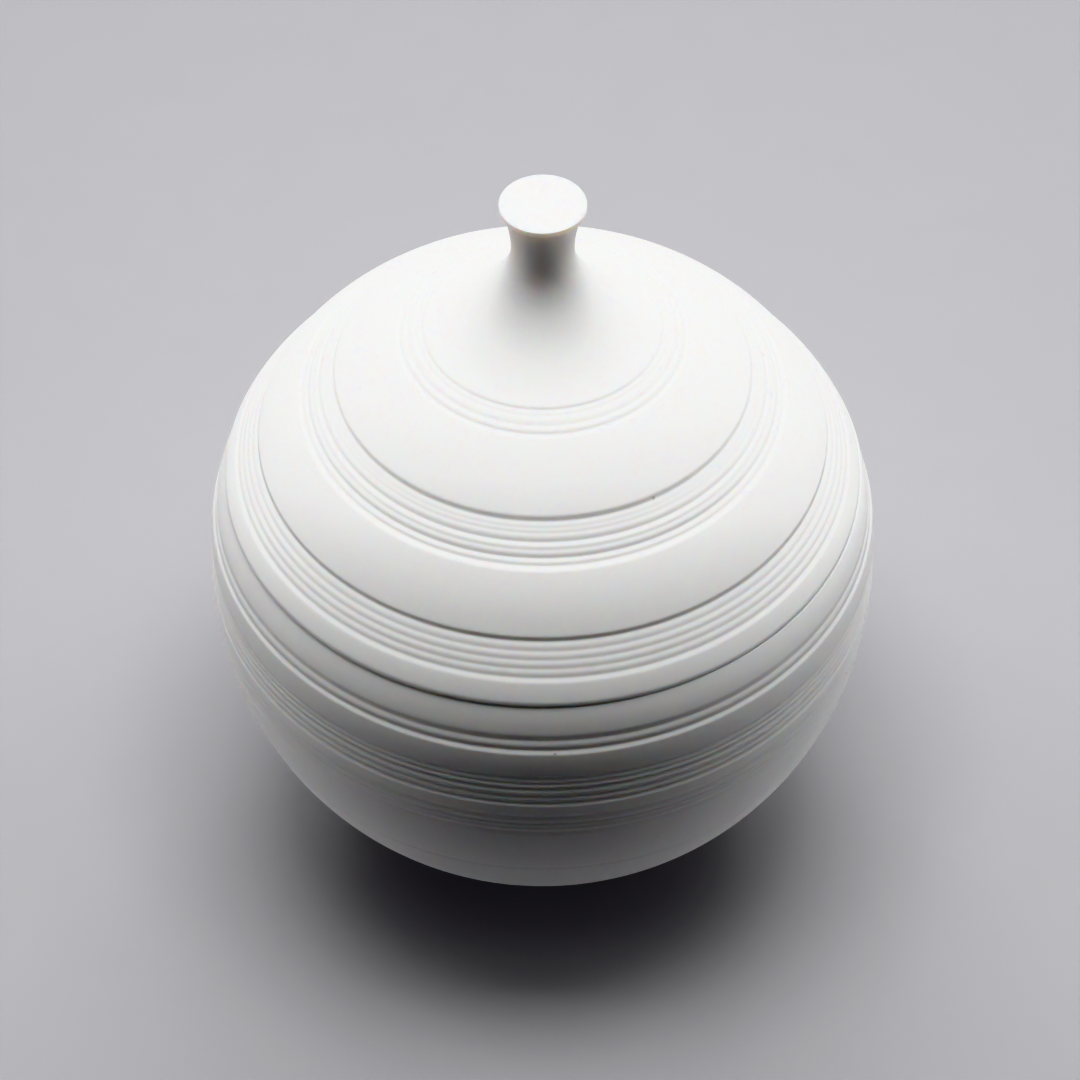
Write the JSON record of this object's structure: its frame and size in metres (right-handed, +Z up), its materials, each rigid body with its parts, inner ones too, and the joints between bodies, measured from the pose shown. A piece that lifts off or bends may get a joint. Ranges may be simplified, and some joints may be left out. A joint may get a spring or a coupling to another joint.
{
  "type": "round lidded porcelain jar",
  "caption": "Near-spherical matt white porcelain jar with turned bands of fine ribs, a lift-off domed lid and a slender waisted knob.",
  "frame": {"origin": "centre of the foot's resting plane, on the jar's axis", "axes": "+Z up along the turning axis; X and Y are any two level directions, because the object is round"},
  "size_m": [0.1502, 0.1502, 0.1803],
  "materials": {
    "porcelain": "unglazed polished white porcelain, satin matt"
  },
  "bodies": {
    "jar": {"jar_body": "porcelain", "foot_ring": "porcelain"},
    "lid": {"lid_dome": "porcelain", "locating_ring": "porcelain", "lid_knob": "porcelain"}
  },
  "joints": [
    {"name": "lid_lift", "type": "slide", "parent": "jar", "child": "lid", "axis": [0, 0, 1], "range_m": [0, 0.09]}
  ]
}
